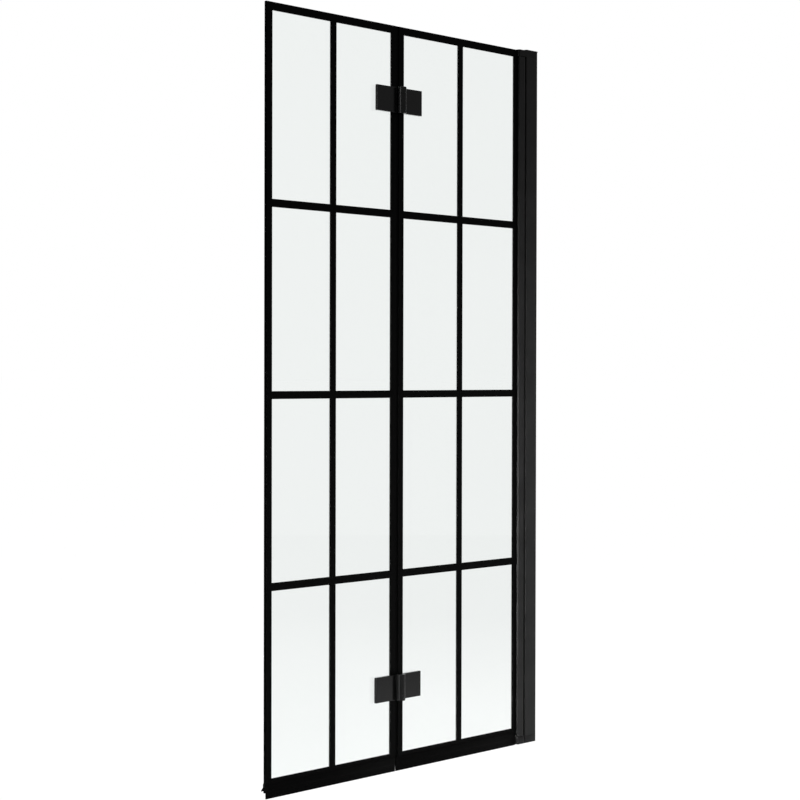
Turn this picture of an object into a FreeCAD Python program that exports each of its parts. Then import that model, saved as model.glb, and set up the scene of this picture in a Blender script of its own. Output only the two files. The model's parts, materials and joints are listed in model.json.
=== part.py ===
import FreeCAD, Part
import os
from FreeCAD import Vector

os.makedirs("parts", exist_ok=True)

# Folding bath screen, in millimetres.
# The wall face is at x = 0, the free edge at -x, the room side faces -y, the bath rim is at z = 0.

# Overall size of the unfolded screen
overall_width = 800.0
overall_height = 1400.0

# Panes
glass_thickness = 5.0
glass_arris = 0.4
outer_glass_width = 356.0
leaf_gap = 7.0
glass_top_drop = 3.0
glass_bottom = 19.5

# Black glazing bars bonded to both faces of each pane
bar_width = 14.0
bar_thickness = 0.5
bar_edge_margin = 0.5
crossbar_rows = 4
wall_stile_reveal = 12.0

# Wall channel and the post that telescopes over it
wall_reveal = 4.0
post_depth = 15.0
post_wall = 1.5
post_width = 34.0
post_foot = 0.5
post_corner = 0.8
channel_slide = 0.1
channel_wall = 1.5
channel_web = 2.5
channel_reach = 28.0
channel_top_drop = 2.0
wall_hole_radius = 2.75
wall_hole_spacing = 386.0
wall_hole_count = 4
screw_port_radius = 3.3
screw_port_inset = 3.2

# Screws that lock the post on the channel, in the rear faces
clamp_screw_radius = 1.9
clamp_screw_head_radius = 3.5
clamp_screw_head_height = 2.2
clamp_screw_spacing = 500.0
clamp_screw_inset = 16.0
clamp_screw_tip = 2.0

# End caps that carry the pivot pins
cap_height = 15.0
cap_lid = 1.7
cap_step = 2.0
cap_wall_gap = 0.5
cap_swing_gap = 0.8
cap_tab_length = 10.0
cap_tab_thickness = 1.9
cap_screw_radius = 1.75
cap_screw_head_radius = 3.4
cap_screw_head_height = 2.0
cap_screw_bite = 14.0

# Swivel post that holds the inner pane
swivel_flat = 16.0
swivel_gap = 1.0
swivel_corner = 1.0
swivel_end_gap = 1.0
channel_mouth = 8.0
glass_insertion = 9.5
channel_floor_gap = 0.3
pivot_pin_radius = 2.0
pivot_pin_seat = 7.0
pivot_bush_radius = 3.2
pivot_bush_length = 12.0
pivot_flange_radius = 6.0
pivot_flange_thickness = 0.9

# Fold hinges between the panes
hinge_inset = 139.0
hinge_standoff = 9.5
barrel_radius = 9.5
barrel_clearance = 0.5
leaf_reach = 65.0
leaf_height = 47.5
leaf_thickness = 5.5
leaf_edge_round = 0.8
clamp_plate_thickness = 4.0
clamp_plate_reach = 55.0
clamp_plate_height = 40.5
hinge_pad_thickness = 0.8
hinge_pad_margin = 0.5
middle_knuckle_height = 23.1
knuckle_washer_thickness = 0.4
hinge_pin_radius = 4.0
hinge_pin_head_radius = 9.0
hinge_pin_head_height = 1.0
hinge_pin_bore_radius = 2.0
hinge_pin_bore_depth = 8.0
hinge_screw_radius = 2.5
hinge_screw_head_radius = 4.6
hinge_screw_head_height = 2.5
hinge_screw_spacing = 24.0
hinge_screw_bite = 4.0
glass_hole_radius = 5.3
sleeve_radius = 5.0

# Seals
seal_leg = 1.2
seal_grip = 7.5
seal_body_drop = 5.5
seal_fin_reach = 4.4
seal_fin_drop = 6.3
seal_fin_thickness = 1.0
seal_lip_drop = 9.8
seal_blade = 1.6
seal_wall_gap = 4.0
seal_end_inset = 1.2
seal_gap = 2.2
bubble_half_width = 1.6
bubble_base = 1.2
bubble_wall = 0.7
bubble_gap = 0.3

# Clearances
running_clearance = 0.05
press_clearance = 0.02
thread_clearance = 0.05
end_clearance = 0.1

# Two places closer than this are the same place
touch = 1e-6

# Levels and planes worked out from the sizes above
glass_half = glass_thickness / 2
bar_face = glass_half + bar_thickness
glass_top = overall_height - glass_top_drop
glass_left = -overall_width
outer_glass_right = glass_left + outer_glass_width
inner_glass_left = outer_glass_right + leaf_gap
outer_seal_right = outer_glass_right - seal_end_inset
inner_seal_left = outer_seal_right + seal_gap
post_half = post_depth / 2
post_right = -wall_reveal
post_left = post_right - post_width
pivot_x = post_left - swivel_gap - post_half
swivel_left = pivot_x - swivel_flat
inner_glass_right = swivel_left + glass_insertion
cap_bottom_top = post_foot + cap_height
cap_top_bottom = overall_height - cap_height
swivel_bottom = cap_bottom_top + swivel_end_gap
swivel_top = cap_top_bottom - swivel_end_gap
channel_half = post_half - post_wall - channel_slide
channel_top = overall_height - channel_top_drop
mid_height = overall_height / 2
port_x = post_left + post_wall + screw_port_inset
fold_x = (outer_glass_right + inner_glass_left) / 2
fold_y = -(glass_half + hinge_standoff)
leaf_back = -(glass_half + hinge_pad_thickness)
leaf_front = leaf_back - leaf_thickness
plate_start = barrel_radius + barrel_clearance
pad_start = leaf_gap / 2 + bar_edge_margin + bar_width + hinge_pad_margin
hinge_screw_offset = (pad_start + leaf_reach) / 2
hinge_levels = {"top": glass_top - hinge_inset, "bottom": glass_bottom + hinge_inset}
screw_levels = (-hinge_screw_spacing / 2, hinge_screw_spacing / 2)


# Shape helpers
def box(x0, x1, y0, y1, z0, z1):
    corner = Vector(min(x0, x1), min(y0, y1), min(z0, z1))
    return Part.makeBox(abs(x1 - x0), abs(y1 - y0), abs(z1 - z0), corner)


def rod(start, end, radius):
    axis = end - start
    return Part.makeCylinder(radius, axis.Length, start, axis)


def rod_z(x, y, radius, z0, z1):
    return rod(Vector(x, y, z0), Vector(x, y, z1), radius)


def rod_y(x, z, radius, y0, y1):
    return rod(Vector(x, y0, z), Vector(x, y1, z), radius)


def prism(points, travel):
    wire = Part.makePolygon(points + points[:1])
    return Part.Face(wire).extrude(travel)


def fuse(first, *others):
    return first.multiFuse(list(others)).removeSplitter()


def edges_where(shape, test):
    return [edge for edge in shape.Edges if all(test(v.Point) for v in edge.Vertexes)]


def near(a, b):
    return abs(a - b) < touch


def upright_edges(shape, x):
    return [edge for edge in edges_where(shape, lambda p: near(p.x, x))
            if near(edge.Vertexes[0].Y, edge.Vertexes[1].Y)]


def save(node, *solids):
    shape = solids[0] if len(solids) == 1 else Part.makeCompound(list(solids))
    shape.exportStep("parts/" + node + ".step")


# Wall side: channel, post, caps, pins and screws
def wall_channel():
    web = box(-channel_web, 0, -channel_half, channel_half, 0, channel_top)
    legs = []
    for side in (-1, 1):
        inner = side * (channel_half - channel_wall)
        legs.append(box(-channel_reach, 0, inner, side * channel_half, 0, channel_top))
    channel = fuse(web, *legs)
    lowest_hole = mid_height - wall_hole_spacing * (wall_hole_count - 1) / 2
    for index in range(wall_hole_count):
        level = lowest_hole + index * wall_hole_spacing
        hole = rod(Vector(-channel_web, 0, level), Vector(0, 0, level), wall_hole_radius)
        channel = channel.cut(hole)
    for level in clamp_levels():
        channel = channel.cut(clamp_hole(level, clamp_screw_radius + thread_clearance))
    return channel


def clamp_levels():
    return [mid_height + step * clamp_screw_spacing for step in (-1, 0, 1)]


def clamp_hole(level, radius):
    return rod_y(-clamp_screw_inset, level, radius, 0, post_half)


def clamp_screw(level):
    shank_end = channel_half - channel_wall - clamp_screw_tip
    shank = rod_y(-clamp_screw_inset, level, clamp_screw_radius, shank_end, post_half)
    head_end = post_half + clamp_screw_head_height
    head = rod_y(-clamp_screw_inset, level, clamp_screw_head_radius, post_half, head_end)
    rim = edges_where(head, lambda p: near(p.y, head_end))
    head = head.makeFillet(clamp_screw_head_height / 2, rim)
    return fuse(shank, head)


def hinge_post():
    outer = box(post_left, post_right, -post_half, post_half, cap_bottom_top, cap_top_bottom)
    outer = outer.makeFillet(post_corner, upright_edges(outer, post_left))
    bay_half = post_half - post_wall
    bay = box(post_left + post_wall, post_right, -bay_half, bay_half, cap_bottom_top, cap_top_bottom)
    port = rod_z(port_x, 0, screw_port_radius, cap_bottom_top, cap_top_bottom)
    post = fuse(outer.cut(bay), port)
    bore = rod_z(port_x, 0, cap_screw_radius + thread_clearance, cap_bottom_top, cap_top_bottom)
    post = post.cut(bore)
    for level in clamp_levels():
        post = post.cut(clamp_hole(level, clamp_screw_radius + thread_clearance))
    return post


def end_cap(top):
    z0 = cap_top_bottom if top else post_foot
    z1 = overall_height if top else cap_bottom_top
    block = box(post_left, post_right, -post_half, post_half, z0, z1)
    if top:
        # The lid reaches over the channel, almost to the wall
        block = fuse(block, box(post_left, -cap_wall_gap, -post_half, post_half, z1 - cap_lid, z1))
    # The nose is an arc about the pivot, so that the pane can swing past it
    nose_top = z1 - cap_step if top else z1
    arm = box(pivot_x, post_left, -post_half, post_half, z0, nose_top)
    nose = box(swivel_left, pivot_x, -post_half, post_half, z0, nose_top)
    nose = nose.common(rod_z(pivot_x, 0, swivel_flat, z0, nose_top))
    block = fuse(block, arm, nose)
    # Room for the wall channel, closed by a lid at the top
    bay_half = post_half - post_wall
    bay_start = -channel_reach - post_wall
    bay_top = z1 - cap_lid if top else z1
    block = block.cut(box(bay_start, post_right, -bay_half, bay_half, z0, bay_top))
    # Tabs that locate the cap inside the post
    seat = z0 if top else z1
    reach = -cap_tab_length if top else cap_tab_length
    tab_x0 = post_left + post_wall + end_clearance
    tabs = []
    for side in (-1, 1):
        tab_out = side * (bay_half - end_clearance)
        tab_in = tab_out - side * cap_tab_thickness
        tabs.append(box(tab_x0, bay_start, tab_in, tab_out, seat, seat + reach))
    block = fuse(block, *tabs)
    # Seats of the pivot pin and of the countersunk screw
    pin_end = seat + pivot_pin_seat if top else seat - pivot_pin_seat
    block = block.cut(rod_z(pivot_x, 0, pivot_pin_radius + press_clearance, seat, pin_end))
    return block.cut(cap_screw(top, thread_clearance))


def cap_screw(top, extra):
    face = overall_height if top else post_foot
    inward = -1 if top else 1
    neck = face + inward * cap_screw_head_height
    tip = face + inward * (cap_height + cap_screw_bite)
    head = Part.makeCone(cap_screw_head_radius + extra, cap_screw_radius + extra,
                         cap_screw_head_height, Vector(port_x, 0, face), Vector(0, 0, inward))
    shank = rod_z(port_x, 0, cap_screw_radius + extra, neck, tip)
    return fuse(head, shank)


def pivot_pin(top):
    seat = cap_top_bottom if top else cap_bottom_top
    inward = -1 if top else 1
    free_end = seat + inward * (swivel_end_gap + pivot_bush_length)
    return rod_z(pivot_x, 0, pivot_pin_radius, seat - inward * pivot_pin_seat, free_end)


# Swivel post, its bushes and the gaskets that grip the inner pane
def swivel_post():
    body = box(swivel_left, pivot_x, -post_half, post_half, swivel_bottom, swivel_top)
    body = body.makeFillet(swivel_corner, upright_edges(body, swivel_left))
    barrel = rod_z(pivot_x, 0, post_half, swivel_bottom, swivel_top)
    post = fuse(body, barrel)
    mouth_half = channel_mouth / 2
    floor = inner_glass_right + channel_floor_gap
    post = post.cut(box(swivel_left, floor, -mouth_half, mouth_half, swivel_bottom, swivel_top))
    return post.cut(rod_z(pivot_x, 0, pivot_bush_radius + press_clearance, swivel_bottom, swivel_top))


def pivot_bush(top):
    end = swivel_top if top else swivel_bottom
    inward = -1 if top else 1
    sleeve = rod_z(pivot_x, 0, pivot_bush_radius, end, end + inward * pivot_bush_length)
    flange = rod_z(pivot_x, 0, pivot_flange_radius, end, end - inward * pivot_flange_thickness)
    bore = rod_z(pivot_x, 0, pivot_pin_radius + running_clearance,
                 end - inward * pivot_flange_thickness, end + inward * pivot_bush_length)
    return fuse(sleeve, flange).cut(bore)


def glazing_gasket(side):
    return box(swivel_left, inner_glass_right, side * bar_face, side * channel_mouth / 2,
               max(swivel_bottom, glass_bottom), min(swivel_top, glass_top))


# Panes and their glazing bars
def pane(x0, x1, hinge_side):
    glass = box(x0, x1, -glass_half, glass_half, glass_bottom, glass_top)
    glass = glass.makeChamfer(glass_arris, glass.Edges)
    hole_x = fold_x + hinge_side * hinge_screw_offset
    for level in hinge_levels.values():
        for step in screw_levels:
            glass = glass.cut(rod_y(hole_x, level + step, glass_hole_radius, -glass_half, glass_half))
    return glass.cut(cap_notch())


def cap_notch():
    # The inner pane's top corner stays clear of the fixed end cap
    return box(swivel_left - cap_swing_gap, post_left, -post_half, post_half, swivel_top, overall_height)


def save_bars(panel, face_name, side, left, right):
    # left and right are each a stile's outer and inner edge
    y0 = side * glass_half
    y1 = side * bar_face
    bottom = glass_bottom + bar_edge_margin
    top = glass_top - bar_edge_margin
    stiles = [box(edge[0], edge[1], y0, y1, bottom, top).cut(cap_notch()) for edge in (left, right)]
    clear_bottom = bottom + bar_width
    pitch = (top - bar_width - clear_bottom) / crossbar_rows
    lower_edges = [bottom]
    for row in range(1, crossbar_rows):
        lower_edges.append(clear_bottom + row * pitch - bar_width / 2)
    lower_edges.append(top - bar_width)
    crossbars = [box(left[1], right[1], y0, y1, z, z + bar_width) for z in lower_edges]
    middle = (left[1] + right[1]) / 2
    mullions = []
    for below, above in zip(lower_edges, lower_edges[1:]):
        mullions.append(box(middle - bar_width / 2, middle + bar_width / 2, y0, y1,
                            below + bar_width, above))
    prefix = panel + "_" + face_name
    save(prefix + "_stiles", *stiles)
    save(prefix + "_crossbars", *crossbars)
    save(prefix + "_mullions", *mullions)


# Seals
def bottom_seal(x0, x1):
    grip_out = bar_face + seal_leg
    body = glass_bottom - seal_body_drop
    fin_root = glass_bottom
    fin_y = grip_out + seal_fin_reach
    fin_z = fin_root - seal_fin_drop
    lip_z = glass_bottom - seal_lip_drop
    blade_out = grip_out - seal_leg / 2
    outline = [
        (-grip_out, glass_bottom + seal_grip),
        (-bar_face, glass_bottom + seal_grip),
        (-bar_face, glass_bottom),
        (bar_face, glass_bottom),
        (bar_face, glass_bottom + seal_grip),
        (grip_out, glass_bottom + seal_grip),
        (grip_out, fin_root),
        (fin_y, fin_z),
        (fin_y - seal_fin_thickness / 2, fin_z - seal_fin_thickness),
        (grip_out, fin_root - 2 * seal_fin_thickness),
        (bar_face, body),
        (bar_face, lip_z + seal_fin_thickness),
        (bar_face - seal_fin_thickness, lip_z),
        (bar_face - seal_blade, body),
        (seal_blade - bar_face, body),
        (seal_blade - blade_out, 0),
        (-blade_out, seal_fin_thickness / 2),
        (-blade_out, body),
        (-grip_out, body + seal_leg / 2),
    ]
    points = [Vector(x0, y, z) for y, z in outline]
    return prism(points, Vector(x1 - x0, 0, 0))


def bubble_seal():
    tip = outer_glass_right + bubble_gap
    centre = tip + bubble_half_width
    base = inner_glass_left - bubble_base
    foot = glass_bottom + bubble_gap
    outer = fuse(box(centre, inner_glass_left, -bubble_half_width, bubble_half_width, foot, glass_top),
                 rod_z(centre, 0, bubble_half_width, foot, glass_top))
    void_half = bubble_half_width - bubble_wall
    void = fuse(box(centre, base, -void_half, void_half, foot, glass_top),
                rod_z(centre, 0, void_half, foot, glass_top))
    return outer.cut(void)


# Fold hinges: side is +1 for the inner pane's half and -1 for the outer pane's
def at(side, offset):
    return fold_x + side * offset


def knuckle_spans(side, level):
    low = level - leaf_height / 2
    high = level + leaf_height / 2
    middle = (level - middle_knuckle_height / 2, level + middle_knuckle_height / 2)
    if side > 0:
        return [middle]
    return [(low, middle[0] - knuckle_washer_thickness), (middle[1] + knuckle_washer_thickness, high)]


def hinge_leaf(side, level):
    z0 = level - leaf_height / 2
    z1 = level + leaf_height / 2
    end = at(side, leaf_reach)
    leaf = box(at(side, plate_start), end, leaf_back, leaf_front, z0, z1)
    rim = []
    for edge in edges_where(leaf, lambda p: near(p.y, leaf_front)):
        middle = edge.CenterOfMass
        if not near(middle.x, at(side, plate_start)):
            rim.append(edge)
    leaf = leaf.makeFillet(leaf_edge_round, rim)
    for low, high in knuckle_spans(side, level):
        barrel = rod_z(fold_x, fold_y, barrel_radius, low, high)
        web = box(fold_x, at(side, plate_start + leaf_edge_round), leaf_back, leaf_front, low, high)
        leaf = fuse(leaf, barrel, web)
    fit = press_clearance if side > 0 else running_clearance
    leaf = leaf.cut(rod_z(fold_x, fold_y, hinge_pin_radius + fit, z0, z1))
    for step in screw_levels:
        leaf = leaf.cut(hinge_screw_rod(side, level + step, hinge_screw_radius + thread_clearance))
    return leaf


def hinge_screw_rod(side, level, radius):
    return rod_y(at(side, hinge_screw_offset), level, radius, leaf_back - hinge_screw_bite,
                 -leaf_back + clamp_plate_thickness)


def hinge_screw_head(side, level, extra):
    outer_face = -leaf_back + clamp_plate_thickness
    return Part.makeCone(hinge_screw_head_radius + extra, hinge_screw_radius + extra,
                         hinge_screw_head_height, Vector(at(side, hinge_screw_offset), outer_face, level),
                         Vector(0, -1, 0))


def hinge_screw(side, level):
    return fuse(hinge_screw_rod(side, level, hinge_screw_radius), hinge_screw_head(side, level, 0))


def clamp_plate(side, level):
    back = -leaf_back
    face = back + clamp_plate_thickness
    plate = box(at(side, plate_start), at(side, clamp_plate_reach), back, face,
                level - clamp_plate_height / 2, level + clamp_plate_height / 2)
    plate = plate.makeFillet(leaf_edge_round, edges_where(plate, lambda p: near(p.y, face)))
    for step in screw_levels:
        plate = plate.cut(hinge_screw_rod(side, level + step, hinge_screw_radius + thread_clearance))
        plate = plate.cut(hinge_screw_head(side, level + step, thread_clearance))
    return plate


def hinge_pad(side, level, face):
    reach, height = (leaf_reach, leaf_height) if face < 0 else (clamp_plate_reach, clamp_plate_height)
    half = height / 2 - hinge_pad_margin
    pad = box(at(side, pad_start), at(side, reach - hinge_pad_margin), face * glass_half,
              -face * leaf_back, level - half, level + half)
    for step in screw_levels:
        pad = pad.cut(hinge_screw_rod(side, level + step, hinge_screw_radius + thread_clearance))
    return pad


def glass_sleeve(side, level):
    x = at(side, hinge_screw_offset)
    tube = rod_y(x, level, sleeve_radius, -glass_half, glass_half)
    return tube.cut(rod_y(x, level, hinge_screw_radius + thread_clearance, -glass_half, glass_half))


def hinge_pin(level):
    low = level - leaf_height / 2
    high = level + leaf_height / 2 + end_clearance
    shaft = rod_z(fold_x, fold_y, hinge_pin_radius, low, high)
    head_top = high + hinge_pin_head_height
    head = rod_z(fold_x, fold_y, hinge_pin_head_radius, high, head_top)
    rim = edges_where(head, lambda p: near(p.z, head_top))
    head = head.makeFillet(hinge_pin_head_height / 2, rim)
    bore = rod_z(fold_x, fold_y, hinge_pin_bore_radius + press_clearance, low, low + hinge_pin_bore_depth)
    return fuse(shaft, head).cut(bore)


def hinge_pin_cap(level):
    low = level - leaf_height / 2
    face = low - end_clearance
    foot = face - hinge_pin_head_height
    disc = rod_z(fold_x, fold_y, hinge_pin_head_radius, foot, face)
    rim = edges_where(disc, lambda p: near(p.z, foot))
    disc = disc.makeFillet(hinge_pin_head_height / 2, rim)
    spigot = rod_z(fold_x, fold_y, hinge_pin_bore_radius, face, low + hinge_pin_bore_depth - end_clearance)
    return fuse(disc, spigot)


def knuckle_washer(level, up):
    face = level + up * middle_knuckle_height / 2
    ring = rod_z(fold_x, fold_y, hinge_pin_head_radius, face, face + up * knuckle_washer_thickness)
    bore = rod_z(fold_x, fold_y, hinge_pin_radius + running_clearance, face,
                 face + up * knuckle_washer_thickness)
    return ring.cut(bore)


# Wall side
save("wall_channel", wall_channel())
save("hinge_post", hinge_post())
save("post_clamp_screws", *[clamp_screw(level) for level in clamp_levels()])
save("top_end_cap", end_cap(True))
save("bottom_end_cap", end_cap(False))
save("end_cap_screws", cap_screw(True, 0), cap_screw(False, 0))
save("top_pivot_pin", pivot_pin(True))
save("bottom_pivot_pin", pivot_pin(False))

# Inner panel
save("swivel_post", swivel_post())
save("top_pivot_bush", pivot_bush(True))
save("bottom_pivot_bush", pivot_bush(False))
save("front_glazing_gasket", glazing_gasket(-1))
save("rear_glazing_gasket", glazing_gasket(1))
save("inner_glass", pane(inner_glass_left, inner_glass_right, 1))
save("inner_bottom_seal", bottom_seal(inner_seal_left, swivel_left - seal_wall_gap))
save("centre_bubble_seal", bubble_seal())

# Outer panel
save("outer_glass", pane(glass_left, outer_glass_right, -1))
save("outer_bottom_seal", bottom_seal(glass_left, outer_seal_right))

# Glazing bars on both faces of both panels
free_stile = (glass_left + bar_edge_margin, glass_left + bar_edge_margin + bar_width)
outer_fold_stile = (outer_glass_right - bar_edge_margin, outer_glass_right - bar_edge_margin - bar_width)
inner_fold_stile = (inner_glass_left + bar_edge_margin, inner_glass_left + bar_edge_margin + bar_width)
wall_stile = (inner_glass_right, swivel_left - wall_stile_reveal)
for face_name, side in (("front", -1), ("rear", 1)):
    save_bars("outer", face_name, side, free_stile, outer_fold_stile)
    save_bars("inner", face_name, side, inner_fold_stile, wall_stile)

# Fold hinges at the top and the bottom
for place, level in hinge_levels.items():
    prefix = place + "_hinge_"
    save(prefix + "pin", hinge_pin(level))
    save(prefix + "pin_cap", hinge_pin_cap(level))
    save(prefix + "washers", knuckle_washer(level, -1), knuckle_washer(level, 1))
    for panel, side in (("inner", 1), ("outer", -1)):
        save(prefix + panel + "_leaf", hinge_leaf(side, level))
        save(prefix + panel + "_clamp_plate", clamp_plate(side, level))
        save(prefix + panel + "_pads", hinge_pad(side, level, -1), hinge_pad(side, level, 1))
        save(prefix + panel + "_sleeves", *[glass_sleeve(side, level + step) for step in screw_levels])
        save(prefix + panel + "_screws", *[hinge_screw(side, level + step) for step in screw_levels])
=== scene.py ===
# %% [markdown]
# # A folding bath screen, dressed step by step
#
# The imported part is a fixed frame: posts, panes, bars and hinges already have their true size and place.
# This lesson gives each of them its finish, and models the soft seals and the screw heads, which need more
# shape than the frame's plain solids have. The frame is loaded first, and its box sets where the floor and
# the studio gear go.

# %% Load the frame
import json
import math

import bmesh
import bpy
from mathutils import Matrix, Vector


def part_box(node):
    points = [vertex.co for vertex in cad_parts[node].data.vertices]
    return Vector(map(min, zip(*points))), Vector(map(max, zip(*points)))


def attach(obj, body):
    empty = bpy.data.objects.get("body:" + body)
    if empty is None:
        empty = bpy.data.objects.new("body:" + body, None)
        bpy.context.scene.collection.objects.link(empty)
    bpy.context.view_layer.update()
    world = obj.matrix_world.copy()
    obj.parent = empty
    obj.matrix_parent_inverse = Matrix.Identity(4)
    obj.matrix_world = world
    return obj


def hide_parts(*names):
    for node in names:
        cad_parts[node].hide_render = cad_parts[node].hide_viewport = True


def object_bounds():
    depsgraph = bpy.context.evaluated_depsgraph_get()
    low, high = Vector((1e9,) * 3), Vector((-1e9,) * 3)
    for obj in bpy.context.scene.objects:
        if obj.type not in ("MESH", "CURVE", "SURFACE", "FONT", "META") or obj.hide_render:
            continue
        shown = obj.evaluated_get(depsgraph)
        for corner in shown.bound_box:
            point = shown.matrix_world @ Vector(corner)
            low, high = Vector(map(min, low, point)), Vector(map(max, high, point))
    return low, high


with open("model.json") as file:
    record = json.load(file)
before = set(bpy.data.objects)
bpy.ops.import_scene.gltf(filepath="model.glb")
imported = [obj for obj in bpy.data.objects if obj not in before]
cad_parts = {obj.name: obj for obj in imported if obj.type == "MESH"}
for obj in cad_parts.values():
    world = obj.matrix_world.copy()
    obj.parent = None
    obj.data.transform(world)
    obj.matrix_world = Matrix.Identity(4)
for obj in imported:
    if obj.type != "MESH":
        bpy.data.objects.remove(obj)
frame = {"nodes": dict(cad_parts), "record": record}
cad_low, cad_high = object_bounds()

MM = 0.001
nodes = frame["nodes"]
body_of = {node: body for body, names in frame["record"]["behaviour"]["bodies"].items() for node in names}
slot_of = {part["node"]: part["material_slot"] for part in frame["record"]["subparts"]}

# %% [markdown]
# ## The camera
#
# The picture looks at the room side from beyond the free edge, at about half the screen's height. A camera
# could be aimed at a target with a constraint, but a place and three angles are easier to read and to check:
# yaw turns from the screen's normal towards the wall, pitch tips the lens, and roll is almost nothing.

# %% Camera
camera_place = Vector((-3.5823, -2.5942, 0.7438))
camera_yaw = math.radians(50.56)
camera_pitch = math.radians(-0.656)
camera_roll = math.radians(0.12)
sensor_width = 36.0
lens_length = 97.69

camera_data = bpy.data.cameras.new("photo_camera")
camera_data.sensor_width = sensor_width
camera_data.lens = lens_length
camera = bpy.data.objects.new("photo_camera", camera_data)
bpy.context.scene.collection.objects.link(camera)
turn = Matrix.Rotation(-camera_yaw, 4, "Z") @ Matrix.Rotation(math.pi / 2 + camera_pitch, 4, "X")
camera.matrix_world = Matrix.Translation(camera_place) @ turn @ Matrix.Rotation(camera_roll, 4, "Z")
bpy.context.scene.camera = camera
bpy.context.scene.view_settings.view_transform = "Standard"
print("camera", round((camera_place - (cad_low + cad_high) / 2).length, 2), "m from the screen's middle")

# %% [markdown]
# ## The studio
#
# Black metal and clear glass show little colour of their own, so the studio makes the picture. The world is
# plain white wherever it is seen, directly, in gloss or through glass, and dimmer as a source of light. A
# picture of a room could light it too, but a plain world is easier to steer. Two helpers come first: one
# tells by which kind of ray a surface is seen, and one maps a value from one range onto another.

# %% World
ambient_level = 0.14

world = bpy.data.worlds.new("white_studio")
bpy.context.scene.world = world
world.use_nodes = True
sky = world.node_tree


def seen_by(tree, *rays):
    """1 for any of the named kinds of ray, and 0 for the others."""
    path = tree.nodes.new("ShaderNodeLightPath")
    seen = path.outputs[rays[0]]
    for ray in rays[1:]:
        either = tree.nodes.new("ShaderNodeMath")
        either.operation = "MAXIMUM"
        tree.links.new(seen, either.inputs[0])
        tree.links.new(path.outputs[ray], either.inputs[1])
        seen = either.outputs[0]
    return seen


def spread(tree, source, low, high, start=0.0, end=1.0):
    """Maps a value that runs from start to end onto the range from low to high."""
    mapped = tree.nodes.new("ShaderNodeMapRange")
    mapped.inputs["From Min"].default_value = start
    mapped.inputs["From Max"].default_value = end
    mapped.inputs["To Min"].default_value = low
    mapped.inputs["To Max"].default_value = high
    tree.links.new(source, mapped.inputs["Value"])
    return mapped.outputs["Result"]


backdrop = sky.nodes["Background"]
backdrop.inputs["Color"].default_value = (1, 1, 1, 1)
in_view = seen_by(sky, "Is Camera Ray", "Is Glossy Ray", "Is Transmission Ray")
sky.links.new(spread(sky, in_view, ambient_level, 1.0), backdrop.inputs["Strength"])
print("world lights at", ambient_level, "and shows white")

# %% [markdown]
# ## The floor
#
# A large pale floor lies just under the seals. A floor that only glowed would be white but would lose the
# object's shadow, so it is a matt surface with a lift of light added where it is seen. In gloss that lift
# fades with distance, as a pool of studio light on the room side does: the foot of the panes then mirrors a
# bright floor, and the upper panes don't.

# %% Floor
floor_size = 400.0
floor_drop = 1 * MM
floor_tone = 0.15
floor_lift = 0.98
pool_lift = 0.9
pool_place = (0.1, -0.5)
pool_reach = 1.9


def studio_paint(gear, name):
    """A new material on a piece of studio gear, with nothing but its output, as (tree, surface socket)."""
    paint = bpy.data.materials.new(name)
    paint.use_nodes = True
    paint.node_tree.nodes.clear()
    output = paint.node_tree.nodes.new("ShaderNodeOutputMaterial")
    gear.data.materials.append(paint)
    return paint.node_tree, output.inputs["Surface"]


bpy.ops.object.select_all(action="DESELECT")
bpy.ops.mesh.primitive_plane_add(size=floor_size, location=(*pool_place, cad_low.z - floor_drop))
floor = bpy.context.object
floor.name = "studio_floor"
tree, surface = studio_paint(floor, "pale_floor")
matt = tree.nodes.new("ShaderNodeBsdfDiffuse")
matt.inputs["Color"].default_value = (floor_tone, floor_tone, floor_tone, 1)
lift = tree.nodes.new("ShaderNodeEmission")
place = tree.nodes.new("ShaderNodeTexCoord")
distance = tree.nodes.new("ShaderNodeVectorMath")
distance.operation = "LENGTH"
tree.links.new(place.outputs["Object"], distance.inputs[0])
pool = spread(tree, distance.outputs["Value"], pool_lift, 0.0, 0.0, pool_reach)
glossed = tree.nodes.new("ShaderNodeMath")
glossed.operation = "MULTIPLY"
tree.links.new(seen_by(tree, "Is Glossy Ray"), glossed.inputs[0])
tree.links.new(pool, glossed.inputs[1])
strength = tree.nodes.new("ShaderNodeMix")
tree.links.new(seen_by(tree, "Is Camera Ray", "Is Transmission Ray"), strength.inputs["Factor"])
tree.links.new(glossed.outputs[0], strength.inputs["A"])
strength.inputs["B"].default_value = floor_lift
tree.links.new(strength.outputs["Result"], lift.inputs["Strength"])
both = tree.nodes.new("ShaderNodeAddShader")
tree.links.new(matt.outputs[0], both.inputs[0])
tree.links.new(lift.outputs[0], both.inputs[1])
tree.links.new(both.outputs[0], surface)
print("floor", floor_drop / MM, "mm under the seals")

# %% [markdown]
# ## Curtain
#
# A photographer hangs a dark curtain opposite black hardware, so that its faces don't turn grey with
# reflected white. Darker paint could hide that too, but would lose the shape. The curtain is a ring that only
# gloss can see: dim towards the room, and white behind the screen, where the panes show it. Its shades are
# pairs of an angle in degrees, counted from the wall, and a level.

# %% Curtain
curtain_radius = 6.0
curtain_height = 8.0
curtain_sides = 64
curtain_levels = [(-180, 0.03), (-160, 0.03), (-152, 0.34), (-100, 0.34), (-39, 0.27),
                  (0, 0.3), (39, 1.0), (90, 1.0), (115, 0.1), (145, 0.03)]

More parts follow.
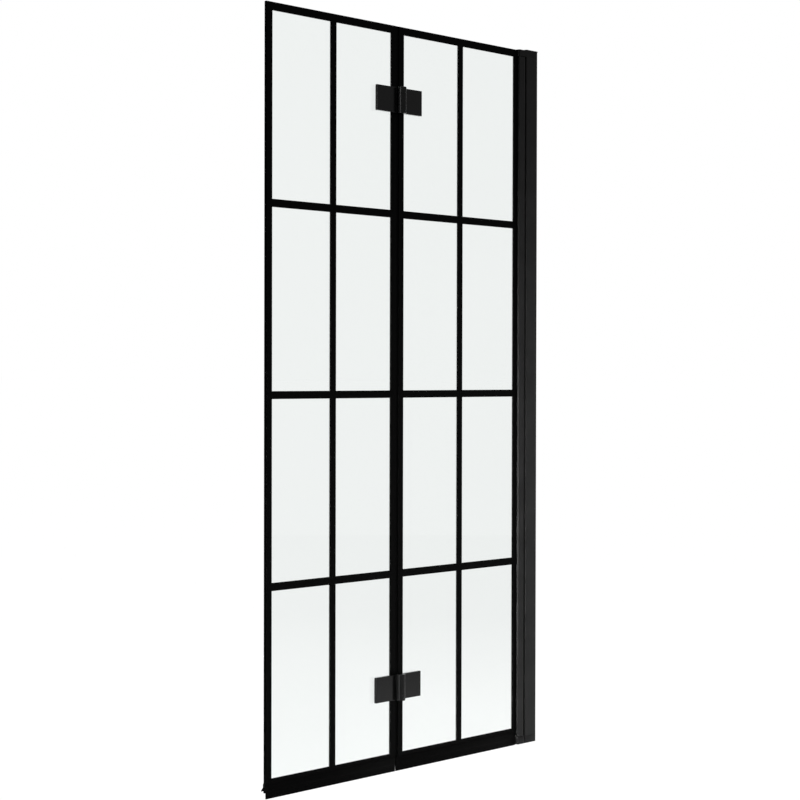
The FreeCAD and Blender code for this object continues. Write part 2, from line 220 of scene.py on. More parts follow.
screen_middle = (cad_low + cad_high) / 2
bpy.ops.object.select_all(action="DESELECT")
bpy.ops.mesh.primitive_cylinder_add(vertices=curtain_sides, radius=curtain_radius, depth=curtain_height,
                                    end_fill_type="NOTHING",
                                    location=(screen_middle.x, 0, cad_low.z + curtain_height / 2))
curtain = bpy.context.object
curtain.name = "studio_curtain"
tree, surface = studio_paint(curtain, "curtain_shades")
place = tree.nodes.new("ShaderNodeTexCoord")
round_about = tree.nodes.new("ShaderNodeTexGradient")
round_about.gradient_type = "RADIAL"
tree.links.new(place.outputs["Object"], round_about.inputs["Vector"])
shades = tree.nodes.new("ShaderNodeValToRGB")
stops = shades.color_ramp.elements
stops[0].position = 0.0
stops[1].position = 1.0
for stop in stops:
    stop.color = (curtain_levels[0][1],) * 3 + (1,)
for angle, shade in curtain_levels[1:]:
    stop = stops.new((angle + 180) / 360)
    stop.color = (shade, shade, shade, 1)
tree.links.new(round_about.outputs["Fac"], shades.inputs["Fac"])
glow = tree.nodes.new("ShaderNodeEmission")
tree.links.new(shades.outputs["Color"], glow.inputs["Color"])
tree.links.new(glow.outputs[0], surface)


def only_in_gloss(piece):
    """Studio gear that nothing but a reflection shows."""
    piece.visible_camera = False
    piece.visible_diffuse = False
    piece.visible_transmission = False
    piece.visible_shadow = False


only_in_gloss(curtain)
print("curtain of", len(stops), "shades")

# %% [markdown]
# ## Strip light
#
# Each hinge barrel shows one thin light line. A line painted on the barrel would turn with it when the screen
# swings, so the line is a reflection: a narrow glowing plane stands to the left of the barrels, and only
# gloss can see it. It stands near them, so that the lower barrel mirrors it before it mirrors the floor.

# %% Strip light
strip_distance = 0.7
strip_angle = math.radians(-165.5)
strip_width = 0.091
strip_height = 1.8
strip_level = 6.0

barrel_low, barrel_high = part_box("top_hinge_pin")
barrel = (barrel_low + barrel_high) / 2
strip_place = (barrel.x + strip_distance * math.cos(strip_angle),
               barrel.y + strip_distance * math.sin(strip_angle), cad_low.z + strip_height / 2)
bpy.ops.object.select_all(action="DESELECT")
bpy.ops.mesh.primitive_plane_add(size=1, location=strip_place,
                                 rotation=(math.pi / 2, 0, strip_angle + math.pi / 2))
strip = bpy.context.object
strip.name = "studio_strip"
strip.scale = (strip_width, strip_height, 1)
tree, surface = studio_paint(strip, "strip_glow")
glow = tree.nodes.new("ShaderNodeEmission")
glow.inputs["Strength"].default_value = strip_level
tree.links.new(glow.outputs[0], surface)
only_in_gloss(strip)
print("strip light", strip_distance, "m from the barrels")

# %% [markdown]
# ## Lamps
#
# Three soft boxes light the matt surfaces and lay the shadow: one above, and two with narrow beams at knee
# height, on the left and in front. One large lamp would be simpler, but the posts grow lighter towards the
# foot, and a narrow beam that is aimed low does that.

# %% Lamps


def soft_lamp(name, place, target, width, height, power, beam=180):
    """A rectangular soft box that faces a target, with its power in watts and its beam in degrees."""
    data = bpy.data.lights.new(name, "AREA")
    data.shape = "RECTANGLE"
    data.size = width
    data.size_y = height
    data.energy = power
    data.spread = math.radians(beam)
    lamp = bpy.data.objects.new(name, data)
    bpy.context.scene.collection.objects.link(lamp)
    lamp.location = place
    lamp.rotation_mode = "QUATERNION"
    lamp.rotation_quaternion = (Vector(target) - Vector(place)).to_track_quat("-Z", "Y")
    return lamp


soft_lamp("top_box", place=(-0.6, -0.6, 3.4), target=(-0.4, 0, 0.6), width=2.4, height=2.4, power=14)
left_lamp = soft_lamp("left_box", place=(-3.04, -0.16, 0.42), target=(-0.06, 0, 0.4),
                      width=0.2, height=0.6, power=10, beam=26)
front_lamp = soft_lamp("front_box", place=(-1.1, -2.6, 0.35), target=(-0.1, 0, 0.4),
                       width=1.0, height=0.9, power=7.2, beam=33)
for lamp in (left_lamp, front_lamp):
    lamp.visible_glossy = False
print("three lamps")

# %% [markdown]
# ## Finishes
#
# Each finish starts from one Principled shader. Numbers that are the same all over go straight on its
# sockets. What varies could come from image textures, but noise needs no file and no unwrapping. It lies on
# Object coordinates, which stay with the piece when it swings: a fine grain for powder coat, long streaks for
# drawn strips and seals. Small helpers keep each finish short.

# %% Finish helpers
tint_range = (0.3, 0.7)


def new_finish(name):
    """A material with one Principled shader, as (material, tree, shader)."""
    finish = bpy.data.materials.new(name)
    finish.use_nodes = True
    return finish, finish.node_tree, finish.node_tree.nodes["Principled BSDF"]


def grain(tree, size, stretch=(1, 1, 1), detail=3.0):
    """Noise with grains of a size in metres, drawn out along the axes with a large stretch."""
    place = tree.nodes.new("ShaderNodeTexCoord")
    mapping = tree.nodes.new("ShaderNodeMapping")
    mapping.inputs["Scale"].default_value = [1 / (size * s) for s in stretch]
    noise = tree.nodes.new("ShaderNodeTexNoise")
    noise.inputs["Scale"].default_value = 1.0
    noise.inputs["Detail"].default_value = detail
    tree.links.new(place.outputs["Object"], mapping.inputs["Vector"])
    tree.links.new(mapping.outputs["Vector"], noise.inputs["Vector"])
    return noise.outputs["Fac"]


def tint(tree, shader, source, dark, light):
    """Base colour between two tones."""
    ramp = tree.nodes.new("ShaderNodeValToRGB")
    for stop, place, tone in zip(ramp.color_ramp.elements, tint_range, (dark, light)):
        stop.position = place
        stop.color = (*tone, 1)
    tree.links.new(source, ramp.inputs["Fac"])
    tree.links.new(ramp.outputs["Color"], shader.inputs["Base Color"])
    return ramp


def relief(tree, shader, source, height, strength):
    """A bump of a height in metres."""
    bump = tree.nodes.new("ShaderNodeBump")
    bump.inputs["Distance"].default_value = height
    bump.inputs["Strength"].default_value = strength
    tree.links.new(source, bump.inputs["Height"])
    tree.links.new(bump.outputs["Normal"], shader.inputs["Normal"])


def rough(tree, shader, source, low, high):
    """Roughness between two values."""
    tree.links.new(spread(tree, source, low, high), shader.inputs["Roughness"])


# %% [markdown]
# ### Black coats
#
# Posts, hinges and caps are black, but not the same black. Powder coat on the posts has a fine orange peel,
# the hinge castings are smoother, and the moulded caps and bushes are duller. Each could be built by itself,
# but one function makes them all, so that their differences stand side by side.

# %% Coats
coat_cloud = 60 * MM
coat_contrast = 0.2
coat_swing = 0.05
peel_strength = 0.35


def black_coat(name, tone, peel, peel_height, roughness, shine):
    """Sprayed or moulded black with a fine peel."""
    finish, tree, shader = new_finish(name)
    fine = grain(tree, peel, detail=2.0)
    cloud = grain(tree, coat_cloud)
    tint(tree, shader, cloud, [(1 - coat_contrast) * tone] * 3, [(1 + coat_contrast) * tone] * 3)
    rough(tree, shader, cloud, roughness - coat_swing, roughness + coat_swing)
    relief(tree, shader, fine, peel_height, peel_strength)
    shader.inputs["Specular IOR Level"].default_value = shine
    return finish


post_coat = black_coat("post_powder_coat", tone=0.012, peel=0.9 * MM, peel_height=0.03 * MM,
                       roughness=0.38, shine=0.12)
hinge_coat = black_coat("hinge_satin_coat", tone=0.0017, peel=0.7 * MM, peel_height=0.015 * MM,
                        roughness=0.2, shine=0.26)
cap_plastic = black_coat("cap_moulded_black", tone=0.009, peel=0.5 * MM, peel_height=0.02 * MM,
                         roughness=0.45, shine=0.12)
black_nylon = black_coat("bush_black_nylon", tone=0.0025, peel=0.6 * MM, peel_height=0.02 * MM,
                         roughness=0.5, shine=0.12)
print("coats:", post_coat.name, hinge_coat.name, cap_plastic.name, black_nylon.name)

# %% [markdown]
# ### Bars and seals
#
# The bars are thin matt strips with almost no shine, which is why they read as drawn lines. The seals are
# soft extrusions: their streaks run along the length, upright in the gap and level along the foot. Streaks
# could be a wave texture, but noise that is stretched along one axis looks less regular.

# %% Strips
streak_width = 0.8 * MM
streak_height = 0.01 * MM
streak_strength = 0.3
streak_contrast = 0.3
streak_swing = 0.07


def drawn_strip(name, tone, along, roughness, shine):
    """Matt black with faint streaks along one axis."""
    finish, tree, shader = new_finish(name)
    streak = grain(tree, streak_width, stretch=along)
    tint(tree, shader, streak, [(1 - streak_contrast) * tone] * 3, [(1 + streak_contrast) * tone] * 3)
    rough(tree, shader, streak, roughness - streak_swing, roughness + streak_swing)
    relief(tree, shader, streak, streak_height, streak_strength)
    shader.inputs["Specular IOR Level"].default_value = shine
    return finish


upright = (1, 1, 60)
level = (60, 1, 1)
even = (1, 1, 1)
bar_look = {"tone": 0.0012, "roughness": 0.5, "shine": 0.03}
seal_look = {"tone": 0.0009, "roughness": 0.55, "shine": 0.03}
upright_bar = drawn_strip("bar_matt_upright", along=upright, **bar_look)
level_bar = drawn_strip("bar_matt_level", along=level, **bar_look)
upright_seal = drawn_strip("seal_soft_upright", along=upright, **seal_look)
level_seal = drawn_strip("seal_soft_level", along=level, **seal_look)
pad_rubber = drawn_strip("pad_rubber", along=even, tone=0.006, roughness=0.7, shine=0.2)
print("strips:", upright_bar.name, level_bar.name, upright_seal.name, level_seal.name, pad_rubber.name)

# %% [markdown]
# ### Glass
#
# A pane could be a thin see-through sheet, but here it is a real plate, so light bends in it and the rear
# bars show beside the front ones. Its body is clear with a faint green cast. The ground edges are told from
# the faces by the normal in object space. They are rough, and their colour and specular tint are painted
# nearly black: painted shade, for the dark that an edge shows when it looks along the pane into its dark
# bars.

# %% Glass
glass_dark = (0.892, 0.919, 0.908)
glass_light = (0.9, 0.926, 0.916)
edge_painted_shade = (0.0006, 0.0012, 0.001, 1)
edge_rough = 0.35
edge_limits = (0.85, 0.95)
glass_cloud = 400 * MM
glass_bend = 1.5


def clear_glass(name):
    """Toughened glass with ground edges, darkened with painted shade."""
    finish, tree, shader = new_finish(name)
    shader.inputs["Transmission Weight"].default_value = 1.0
    shader.inputs["IOR"].default_value = glass_bend
    place = tree.nodes.new("ShaderNodeTexCoord")
    split = tree.nodes.new("ShaderNodeSeparateXYZ")
    tree.links.new(place.outputs["Normal"], split.inputs["Vector"])
    flatness = tree.nodes.new("ShaderNodeMath")
    flatness.operation = "ABSOLUTE"
    tree.links.new(split.outputs["Y"], flatness.inputs[0])
    edge = spread(tree, flatness.outputs[0], 1.0, 0.0, *edge_limits)
    face_tone = grain(tree, glass_cloud)
    ramp = tint(tree, shader, face_tone, glass_dark, glass_light)
    # The ground edges get a nearly black base colour: painted shade.
    mix = tree.nodes.new("ShaderNodeMix")
    mix.data_type = "RGBA"
    tree.links.new(edge, mix.inputs["Factor"])
    tree.links.new(ramp.outputs["Color"], mix.inputs["A"])
    mix.inputs["B"].default_value = edge_painted_shade
    tree.links.new(mix.outputs["Result"], shader.inputs["Base Color"])
    # Their specular tint goes to black as well: painted shade that takes the reflections off them.
    tree.links.new(spread(tree, edge, 1.0, 0.0), shader.inputs["Specular Tint"])
    rough(tree, shader, edge, 0.0, edge_rough)
    return finish


pane_glass = clear_glass("pane_clear_glass")
print("glass:", pane_glass.name)

# %% [markdown]
# ### Steel and nylon
#
# Screws and pivot pins are turned steel, seen only on the rear and the ends. The sleeves in the glass holes
# are natural nylon. One plain tone would do for each from afar, but fine marks and a soft mottle keep them
# from looking like painted toys in a close view.

# %% Steel and nylon


def turned_steel(name):
    """Bright steel with fine turning marks."""
    finish, tree, shader = new_finish(name)
    marks = grain(tree, size=0.25 * MM)
    tint(tree, shader, marks, dark=(0.42, 0.42, 0.43), light=(0.6, 0.6, 0.61))
    rough(tree, shader, marks, low=0.24, high=0.38)
    relief(tree, shader, marks, height=0.005 * MM, strength=0.3)
    shader.inputs["Metallic"].default_value = 1.0
    return finish


def natural_nylon(name):
    """Milky plastic with a soft mottle."""
    finish, tree, shader = new_finish(name)
    mottle = grain(tree, size=2 * MM)
    tint(tree, shader, mottle, dark=(0.68, 0.67, 0.62), light=(0.76, 0.75, 0.7))
    rough(tree, shader, mottle, low=0.4, high=0.55)
    return finish


steel = turned_steel("screw_turned_steel")
sleeve_nylon = natural_nylon("sleeve_nylon")
print("also:", steel.name, sleeve_nylon.name)

# %% [markdown]
# ## Dress the frame
#
# Every node takes the finish of its slot in the record. Finishes could be given node by node, but a table of
# slots takes them in all at once and misses none. Upright and level bars share a slot but not their streaks,
# so the node's name decides there.

# %% Dress the nodes
finish_of_slot = {
    "clear_glass": pane_glass,
    "black_bar": upright_bar,
    "black_profile": post_coat,
    "black_hinge": hinge_coat,
    "black_cap": cap_plastic,
    "black_seal": upright_seal,
    "black_nylon": black_nylon,
    "steel": steel,
    "nylon": sleeve_nylon,
}


def finish_of(node):
    """The finish that a node or its stand-in takes."""
    if node.endswith("crossbars"):
        return level_bar
    if node.endswith("bottom_seal"):
        return level_seal
    if node.endswith("pads"):
        return pad_rubber
    return finish_of_slot[slot_of[node]]


for node, part in nodes.items():
    part.data.materials.clear()
    part.data.materials.append(finish_of(node))
print("dressed", len(nodes), "nodes with", len({finish_of(node).name for node in nodes}), "finishes")

# %% [markdown]
# ## Hand tools
#
# The pieces below are modelled as by hand: a primitive is added at its size and place, then cut, drawn out
# and rounded in edit mode. An operator works on what is selected, so these helpers start a piece, pick parts
# of it by their place, and hand the finished piece to the frame in a node's stead.

# %% Start and edit a piece
round_sides = 32


def start(name, add, turn=(0, 0, 0), scale_to=(1, 1, 1), **where):
    """A new primitive, turned and sized, whose place is in its mesh."""
    bpy.ops.object.select_all(action="DESELECT")
    add(rotation=turn, **where)
    piece = bpy.context.object
    piece.name = name
    piece.data.name = name
    piece.scale = scale_to
    bpy.ops.object.transform_apply(location=True, rotation=True, scale=True)
    return piece


def make_active(piece):
    """Only this piece is selected, and it is the active one."""
    bpy.ops.object.select_all(action="DESELECT")
    piece.select_set(True)
    bpy.context.view_layer.objects.active = piece


def edit(piece):
    """Edit mode on one piece, with all of it selected."""
    make_active(piece)
    bpy.ops.object.mode_set(mode="EDIT")
    bpy.ops.mesh.select_all(action="SELECT")


def done():
    """Back to object mode."""
    bpy.ops.object.mode_set(mode="OBJECT")


# %% Pick, cut and pull
reach = 0.02 * MM


def near(a, b):
    """Whether two places along an axis are the same."""
    return abs(a - b) < reach


def pick(kind, test):
    """Select the verts, edges or faces whose middle passes a test, in edit mode."""
    bpy.ops.mesh.select_mode(type=kind)
    bpy.ops.mesh.select_all(action="DESELECT")
    mesh = bpy.context.object.data
    form = bmesh.from_edit_mesh(mesh)
    parts = {"VERT": form.verts, "EDGE": form.edges, "FACE": form.faces}[kind]
    for part in parts:
        corners = [part] if kind == "VERT" else part.verts
        middle = sum((corner.co for corner in corners), Vector()) / len(corners)
        if test(middle):
            part.select_set(True)
    form.select_flush_mode()
    bmesh.update_edit_mesh(mesh)


def cut_across(place, normal):
    """Cut the whole piece with a plane, and keep both sides."""
    bpy.ops.mesh.select_all(action="SELECT")
    bpy.ops.mesh.bisect(plane_co=place, plane_no=normal)


def pull(move):
    """Extrude what is selected."""
    bpy.ops.mesh.extrude_region_move(TRANSFORM_OT_translate={"value": move})


# %% Finish a piece
merge_reach = 0.001 * MM
sharp_angle = math.radians(35)


def smooth():
    """Smooth shading on what is selected, but for its sharp edges."""
    bpy.ops.object.shade_smooth_by_angle(angle=sharp_angle)


def finish_mesh(piece, width=0.0, segments=2):
    """Normals outwards, edges rounded by a width, smooth between sharp edges."""
    edit(piece)
    bpy.ops.mesh.remove_doubles(threshold=merge_reach)
    bpy.ops.mesh.normals_make_consistent(inside=False)
    done()
    if width:
        soften = piece.modifiers.new("soften", "BEVEL")
        soften.width = width
        soften.segments = segments
        soften.limit_method = "ANGLE"
        bpy.ops.object.modifier_apply(modifier="soften")
    smooth()


def take_out(piece, cutter):
    """Cut one piece out of another, and throw the cutter away."""
    make_active(piece)
    cut = piece.modifiers.new("cut", "BOOLEAN")
    cut.operation = "DIFFERENCE"
    cut.solver = "EXACT"
    cut.object = cutter
    bpy.ops.object.modifier_apply(modifier="cut")
    bpy.data.objects.remove(cutter)


def join(pieces, name):
    """Several pieces as one."""
    bpy.ops.object.select_all(action="DESELECT")
    for piece in pieces:
        piece.select_set(True)
    bpy.context.view_layer.objects.active = pieces[0]
    if len(pieces) > 1:
        bpy.ops.object.join()
    pieces[0].name = name
    pieces[0].data.name = name
    return pieces[0]


def stand_in(piece, node):
    """The piece takes a node's place, body and finish, and the node is hidden."""
    piece.data.materials.clear()
    piece.data.materials.append(finish_of(node))
    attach(piece, body_of[node])
    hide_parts(node)
    print(piece.name, "stands for", node, "with", len(piece.data.polygons), "faces")


# %% [markdown]
# ## Wipe seals
#
# A soft seal clips on the foot of each pane: two legs grip the glass and its bars, a drip fin droops on the
# bath side, and a lip and a blade wipe the rim. It could be a curve with a section for its bevel, but the
# section has branches, so it is drawn as one flat face whose edges are pulled out, and then drawn along the
# pane. Steps are in millimetres, across and up.

# %% Section of a wipe seal
seal_leg = 1.2 * MM
seal_body = 5.5 * MM
fin_root = 2.0 * MM
seal_blade = 1.6 * MM
leg_straight = 0.75
leg_tip = 0.75
fin_steps = [(1.3, -1.0), (1.15, -1.4), (1.0, -1.6), (0.8, -1.8)]
fin_taper = 0.87
lip_steps = [(0.1, -2.1), (-0.2, -2.1)]
lip_taper = 0.85
blade_steps = [(0.0, -4.6), (-0.1, -4.6), (-0.2, -4.8)]
blade_taper = 0.9
seal_round = 0.2 * MM


def draw_out(y, z, steps, taper):
    """Extrude the picked edges, whose middle is at y and z, through steps, thinner at each."""
    middle = Vector((0, y, z))
    for across, up in steps:
        move = Vector((0, across * MM, up * MM))
        pull(move)
        middle = middle + move
        bpy.ops.transform.resize(value=(1, taper, taper), center_override=middle)


def seal_section(name, low, high, foot):
    """The seal's section as a flat sheet at its free end."""
    grip = -low.y
    inside = grip - seal_leg
    base = foot - seal_body
    blade_front = -(grip - seal_leg / 2)
    blade_rear = seal_blade - inside
    lip_front = inside - seal_blade
    section = start(name, bpy.ops.mesh.primitive_plane_add, turn=(0, math.pi / 2, 0),
                    scale_to=(seal_body, 2 * grip, 1), size=1, location=(low.x, 0, (foot + base) / 2))
    edit(section)
    for y in (blade_front, -inside, blade_rear, lip_front, inside):
        cut_across((0, y, 0), (0, 1, 0))
    cut_across((0, 0, foot - fin_root), (0, 0, 1))
    for side in (-1, 1):
        pick("EDGE", lambda m: near(m.z, foot) and side * m.y > inside)
        leg = high.z - foot
        pull((0, 0, leg_straight * leg))
        pull((0, 0, (1 - leg_straight) * leg))
        bpy.ops.transform.resize(value=(1, leg_tip, 1), center_override=(0, side * inside, high.z))
    pick("EDGE", lambda m: near(m.y, grip) and foot - fin_root < m.z < foot)
    draw_out(grip, foot - fin_root / 2, fin_steps, fin_taper)
    pick("EDGE", lambda m: near(m.z, base) and lip_front < m.y < inside)
    draw_out((lip_front + inside) / 2, base, lip_steps, lip_taper)
    pick("EDGE", lambda m: near(m.z, base) and blade_front < m.y < blade_rear)
    draw_out((blade_front + blade_rear) / 2, base, blade_steps, blade_taper)
    done()
    return section


# %% Draw the seals along the panes
for node, pane in (("outer_bottom_seal", "outer_glass"), ("inner_bottom_seal", "inner_glass")):
    low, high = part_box(node)
    seal = seal_section(node + "_soft", low, high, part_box(pane)[0].z)
    edit(seal)
    pull((high.x - low.x, 0, 0))
    done()
    finish_mesh(seal, width=seal_round)
    stand_in(seal, node)

# %% [markdown]
# ## Bubble seal
#
# A hollow seal on the inner pane's edge fills the gap between the panes and flattens when they close. Its D
# could be drawn along as the wipe seals are, but a tube is a quicker start: half of it is drawn towards the
# glass and pressed flat there, and Solidify gives it a wall. A flat foot joins it to the glass.

# %% Bubble seal
bubble_wall = 0.6 * MM
bubble_foot = 1.2 * MM
bubble_sides = 40
bubble_round = 0.25 * MM

node = "centre_bubble_seal"
low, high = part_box(node)
half = high.y
crown = low.x + half
flat = high.x - bubble_foot
length = high.z - low.z
middle = (low.z + high.z) / 2
bubble = start(node + "_tube", bpy.ops.mesh.primitive_cylinder_add, vertices=bubble_sides, radius=half,
               depth=length, end_fill_type="NOTHING", location=(crown, 0, middle))
edit(bubble)
pick("VERT", lambda m: m.x > crown + reach)
bpy.ops.transform.translate(value=(flat - crown, 0, 0))
bpy.ops.transform.resize(value=(0, 1, 1), center_override=(flat, 0, 0))
done()
wall = bubble.modifiers.new("wall", "SOLIDIFY")
wall.thickness = bubble_wall
wall.offset = -1
bpy.ops.object.modifier_apply(modifier="wall")
foot = start(node + "_foot", bpy.ops.mesh.primitive_cube_add, size=1,
             scale_to=(bubble_foot, 2 * half, length), location=((flat + high.x) / 2, 0, middle))
finish_mesh(foot, width=bubble_round)
bubble = join([bubble, foot], node + "_soft")
smooth()
stand_in(bubble, node)

# %% [markdown]
# ## Glazing gaskets
#
# Two strips wedge the inner pane into the swivel post. A strip could be a plain box, but a real one has a
# rounded bead that shows at the mouth of the post, and grooves on its back that let it give. So a box gets a
# bead pulled from its mouth, narrower than the strip. The grooves run out at both ends, so they are cut with
# longer boxes: faces pushed in would leave a thin wall at each end.

# %% Glazing gaskets
bead_out = 0.7 * MM
bead_width = 0.8
groove_width = 0.9 * MM
groove_depth = 0.35 * MM
groove_places = (0.3, 0.5, 0.7)
gasket_round = 0.1 * MM


def glazing_gasket(node):
    """A strip with a bead at its mouth and grooves on its back."""
    low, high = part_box(node)
    back = high.y if high.y > 0 else low.y
    strip = start(node + "_soft", bpy.ops.mesh.primitive_cube_add, scale_to=high - low, size=1,
                  location=(low + high) / 2)
    edit(strip)
    pick("FACE", lambda m: near(m.x, low.x))
    pull((-bead_out, 0, 0))
    bpy.ops.transform.resize(value=(1, bead_width, 1), center_override=(low + high) / 2)
    done()
    for share in groove_places:
        groove = start("groove", bpy.ops.mesh.primitive_cube_add, size=1,
                       scale_to=(groove_width, 2 * groove_depth, 2 * (high.z - low.z)),
                       location=(low.x + share * (high.x - low.x), back, (low.z + high.z) / 2))
        take_out(strip, groove)
    finish_mesh(strip, width=gasket_round)
    stand_in(strip, node)


for face in ("front", "rear"):
    glazing_gasket(face + "_glazing_gasket")

# %% [markdown]
# ## Bottom cap
#
# A moulded cap closes the foot of both posts and carries the lower pivot. Its solid has sharp edges, but in
# the picture the light edge of the swivel post and the dark line between the posts run on to the floor. So
# the cap gets rounded corners, and a groove on each face. A box could be the start, but the nose is an arc
# about the pivot, so a cylinder is cut flat on three sides, and its flat end is pulled out towards the wall.

# %% Shape of the bottom cap
nose_sides = 96
nose_corner = 1.0 * MM
nose_corner_steps = 3

node = "bottom_end_cap"
low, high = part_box(node)
post_low, post_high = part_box("hinge_post")
pin_low, pin_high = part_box("bottom_pivot_pin")
pivot = (pin_low.x + pin_high.x) / 2
seat = post_low.z
middle = (low.z + seat) / 2
cap = start(node + "_body", bpy.ops.mesh.primitive_cylinder_add, vertices=nose_sides, radius=pivot - low.x,
            depth=seat - low.z, location=(pivot, 0, middle))
flats = (((0, high.y, 0), (0, 1, 0)), ((0, low.y, 0), (0, -1, 0)), ((pivot, 0, 0), (1, 0, 0)))
edit(cap)
for place, outward in flats:
    bpy.ops.mesh.select_all(action="SELECT")
    bpy.ops.mesh.bisect(plane_co=place, plane_no=outward, use_fill=True, clear_outer=True)
pick("FACE", lambda m: near(m.x, pivot))
pull((post_high.x - pivot, 0, 0))
pick("EDGE", lambda m: near(abs(m.y), high.y) and near(m.z, middle) and m.x < pivot - nose_corner)
bpy.ops.mesh.bevel(offset=nose_corner, segments=nose_corner_steps, affect="EDGES")
done()
print("cap body with", len(cap.data.polygons), "faces")

# %% Blocks and drills


def block(name, corner, other):
    """A box between two corners."""
    return start(name, bpy.ops.mesh.primitive_cube_add, size=1, scale_to=other - corner,
                 location=(corner + other) / 2)


def drill(piece, place, radius, depth, mouth=None):
    """A hole from a place upwards, or downwards with a negative depth, wider at its mouth."""
    wide = radius if mouth is None else mouth
    ends = (wide, radius) if depth > 0 else (radius, wide)
    take_out(piece, start("drill", bpy.ops.mesh.primitive_cone_add, vertices=round_sides, radius1=ends[0],
                          radius2=ends[1], depth=abs(depth), location=place + Vector((0, 0, depth / 2))))


# %% Cuts of the bottom cap
cap_wall = 1.5 * MM
cap_fit = 0.1 * MM
line_width = 2.4 * MM
line_depth = 2.0 * MM
screw_hole = 1.85 * MM
screw_sink = 2.0 * MM
below = Vector((0, 0, -MM))
above = Vector((0, 0, MM))

screw_low, screw_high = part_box("end_cap_screws")
screw_head = (screw_high.x - screw_low.x) / 2 + cap_fit
screw_place = Vector(((screw_low.x + screw_high.x) / 2, 0, low.z))
pin_hole = (pin_high.x - pin_low.x) / 2 + cap_fit
bay_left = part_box("wall_channel")[0].x - cap_wall
bay_half = high.y - cap_wall
take_out(cap, block("bay", Vector((bay_left, -bay_half, low.z)) + below, Vector((0, bay_half, seat)) + above))
for y in (low.y, high.y):
    take_out(cap, block("line", Vector((post_low.x - line_width, y - line_depth, low.z)) + below,
                        Vector((post_low.x, y + line_depth, seat)) + above))
drill(cap, Vector((pivot, 0, seat)) + above, pin_hole, pin_low.z - seat - MM)
drill(cap, screw_place + below, screw_hole, seat - low.z + 2 * MM)
drill(cap, screw_place - Vector((0, 0, screw_sink)), screw_hole, 2 * screw_sink,
      mouth=2 * screw_head - screw_hole)
print("cap with its bay, lines and seats:", len(cap.data.polygons), "faces")

# %% Tabs of the bottom cap
tab_thickness = 1.9 * MM
cap_edge = 0.2 * MM

finish_mesh(cap, width=cap_edge)
tabs = []
for side in (-1, 1):
    tab_rim = side * (bay_half - cap_fit)
    tab = block(node + "_tab", Vector((post_low.x + cap_wall + cap_fit, tab_rim, seat)),
                Vector((bay_left, tab_rim - side * tab_thickness, high.z)))
    finish_mesh(tab, width=cap_edge)
    tabs.append(tab)
cap = join([cap, *tabs], node + "_moulded")
stand_in(cap, node)

# %% [markdown]
# ## Screws
#
# All screws are turned parts, so each is modelled once, standing on the origin with its head up: a short
# cylinder whose end is pulled and widened from point to point of its outline, and whose drive is cut out
# with a cutter. Copies are then set where the frame has its screws. A spin of the outline would do as well,
# but leaves a pole to close.

# %% Turn a screw


def turn_screw(name, outline):
    """A screw from (radius, height) points in millimetres, from the tip up to the head's face at 0."""
    radius, tip = outline[0]
    shank = outline[1][1]
    screw = start(name, bpy.ops.mesh.primitive_cylinder_add, vertices=round_sides, radius=radius * MM,
                  depth=(shank - tip) * MM, location=(0, 0, (shank + tip) / 2 * MM))
    edit(screw)
    pick("FACE", lambda m: near(m.z, shank * MM))
    height = shank
    for wider, higher in outline[2:]:
        pull((0, 0, (higher - height) * MM))
        ratio = wider / radius
        bpy.ops.transform.resize(value=(ratio, ratio, 1), center_override=(0, 0, higher * MM))
        radius = wider
        height = higher
    done()
    return screw


def hex_cutter(across, depth):
    """A six-sided socket, across its corners."""
    return start("hex_cutter", bpy.ops.mesh.primitive_cylinder_add, vertices=6, radius=across / 2 * MM,
                 depth=2 * depth * MM, location=(0, 0, 0))


def cross_cutter(width, length, depth, narrowing=0.6):
    """Two crossed bars, narrower at the bottom of the recess."""
    bars = []
    for turn in (0, math.pi / 2):
        bar = start("cross_cutter", bpy.ops.mesh.primitive_cube_add, turn=(0, 0, turn),
                    scale_to=(width * MM, length * MM, 2 * depth * MM), size=1, location=(0, 0, 0))
        edit(bar)
        pick("FACE", lambda m: near(m.z, -depth * MM))
        bpy.ops.transform.resize(value=(narrowing, narrowing, 1), center_override=(0, 0, -depth * MM))
        done()
        bars.append(bar)
    return bars


# %% Set out copies
tail_up = (math.pi, 0, 0)
head_to_rear = (-math.pi / 2, 0, 0)


def set_out(screw, node, places, turns):
    """Copies of a screw at places, turned, as one piece in a node's stead."""
    copies = []
    for place, turn in zip(places, turns):
        make_active(screw)
        bpy.ops.object.duplicate(linked=False)
        copy = bpy.context.object
        copy.location = place
        copy.rotation_euler = turn
        bpy.ops.object.transform_apply(location=True, rotation=True, scale=True)
        copies.append(copy)
    piece = join(copies, node + "_turned")
    smooth()
    stand_in(piece, node)


# %% Hinge screws
hinge_screw_outline = [(2.2, -14.6), (2.5, -14.2), (2.5, -14.2), (2.5, -2.6),
                       (4.5, -0.5), (4.6, -0.2), (4.4, 0)]

hinge_screw = turn_screw("hinge_screw", hinge_screw_outline)
take_out(hinge_screw, hex_cutter(across=4.6, depth=2.2))
for end in ("top", "bottom"):
    for panel in ("inner", "outer"):
        node = f"{end}_hinge_{panel}_screws"
        low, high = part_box(node)
        middle = (low + high) / 2
        head = (high.x - low.x) / 2
        places = [(middle.x, high.y, low.z + head), (middle.x, high.y, high.z - head)]
        set_out(hinge_screw, node, places, [head_to_rear] * 2)
bpy.data.objects.remove(hinge_screw)

# %% Post clamp screws
clamp_outline = [(1.5, -7.3), (1.9, -6.9), (1.9, -6.9), (1.9, -2.2),
                 (3.5, -2.2), (3.5, -1.0), (3.2, -0.4), (2.5, 0)]

clamp_screw = turn_screw("clamp_screw", clamp_outline)
for cutter in cross_cutter(width=0.9, length=4.0, depth=1.4):
    take_out(clamp_screw, cutter)
node = "post_clamp_screws"
low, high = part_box(node)
middle = (low + high) / 2
head = (high.x - low.x) / 2
places = [(middle.x, high.y, z) for z in (low.z + head, middle.z, high.z - head)]
set_out(clamp_screw, node, places, [head_to_rear] * 3)
bpy.data.objects.remove(clamp_screw)

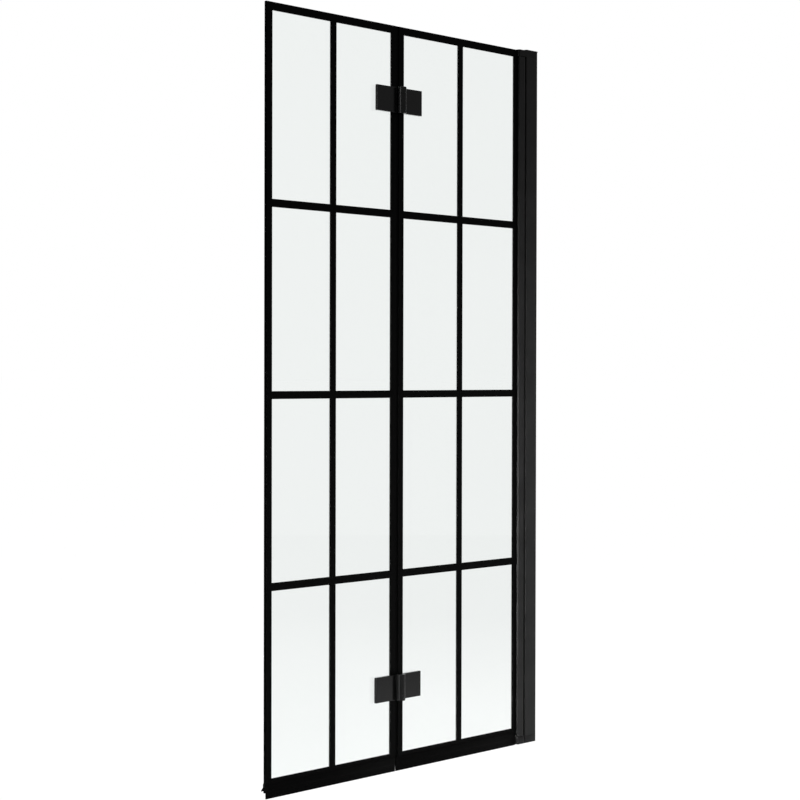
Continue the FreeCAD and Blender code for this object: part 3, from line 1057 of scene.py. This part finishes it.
# %% End cap screws
cap_screw_outline = [(1.2, -29), (1.75, -27.5), (1.75, -27.5), (1.75, -2),
                     (3.3, -0.3), (3.4, -0.1), (3.2, 0)]

cap_screw = turn_screw("cap_screw", cap_screw_outline)
for cutter in cross_cutter(width=0.9, length=4.2, depth=1.5):
    take_out(cap_screw, cutter)
node = "end_cap_screws"
low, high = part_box(node)
middle = (low + high) / 2
set_out(cap_screw, node, [(middle.x, 0, high.z), (middle.x, 0, low.z)], [(0, 0, 0), tail_up])
bpy.data.objects.remove(cap_screw)

# %% [markdown]
# ## Hinge pads
#
# Each hinge plate bears on the glass through a thin rubber pad, which shows as a dark line round the plate.
# A pad could be cut from a sheet, but a flat box whose corners are rounded is as quick. The screws pass
# through it, so its holes are cut where the frame has its screws. The rear pads follow the smaller clamp
# plates.

# %% Hinge pads
pad_thickness = 0.8 * MM
pad_corner = 3.0 * MM
pad_corner_steps = 5
pad_hole = 2.7 * MM
pad_margin = 0.5 * MM


def hinge_pads(end, panel):
    """The two pads of one hinge leaf, in front of and behind the glass."""
    node = f"{end}_hinge_{panel}_pads"
    low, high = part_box(node)
    screw_low, screw_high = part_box(f"{end}_hinge_{panel}_screws")
    head = (screw_high.x - screw_low.x) / 2
    plate_low, plate_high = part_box(f"{end}_hinge_{panel}_clamp_plate")
    rear_low = max(low.x, plate_low.x + pad_margin)
    rear_high = min(high.x, plate_high.x - pad_margin)
    rear_height = plate_high.z - plate_low.z - 2 * pad_margin
    front = (low.x, high.x, low.y + pad_thickness / 2, high.z - low.z)
    rear = (rear_low, rear_high, high.y - pad_thickness / 2, rear_height)
    pads = []
    for left, right, y, height in (front, rear):
        pad = start(node, bpy.ops.mesh.primitive_cube_add, size=1,
                    scale_to=(right - left, pad_thickness, height),
                    location=((left + right) / 2, y, (low.z + high.z) / 2))
        edit(pad)
        pick("EDGE", lambda m: near(m.y, y))
        bpy.ops.mesh.bevel(offset=pad_corner, segments=pad_corner_steps, affect="EDGES")
        done()
        for z in (screw_low.z + head, screw_high.z - head):
            hole = start("pad_hole", bpy.ops.mesh.primitive_cylinder_add, turn=(math.pi / 2, 0, 0),
                         vertices=round_sides, radius=pad_hole, depth=4 * pad_thickness,
                         location=((screw_low.x + screw_high.x) / 2, y, z))
            take_out(pad, hole)
        finish_mesh(pad)
        pads.append(pad)
    stand_in(join(pads, node + "_soft"), node)


for end in ("top", "bottom"):
    for panel in ("inner", "outer"):
        hinge_pads(end, panel)
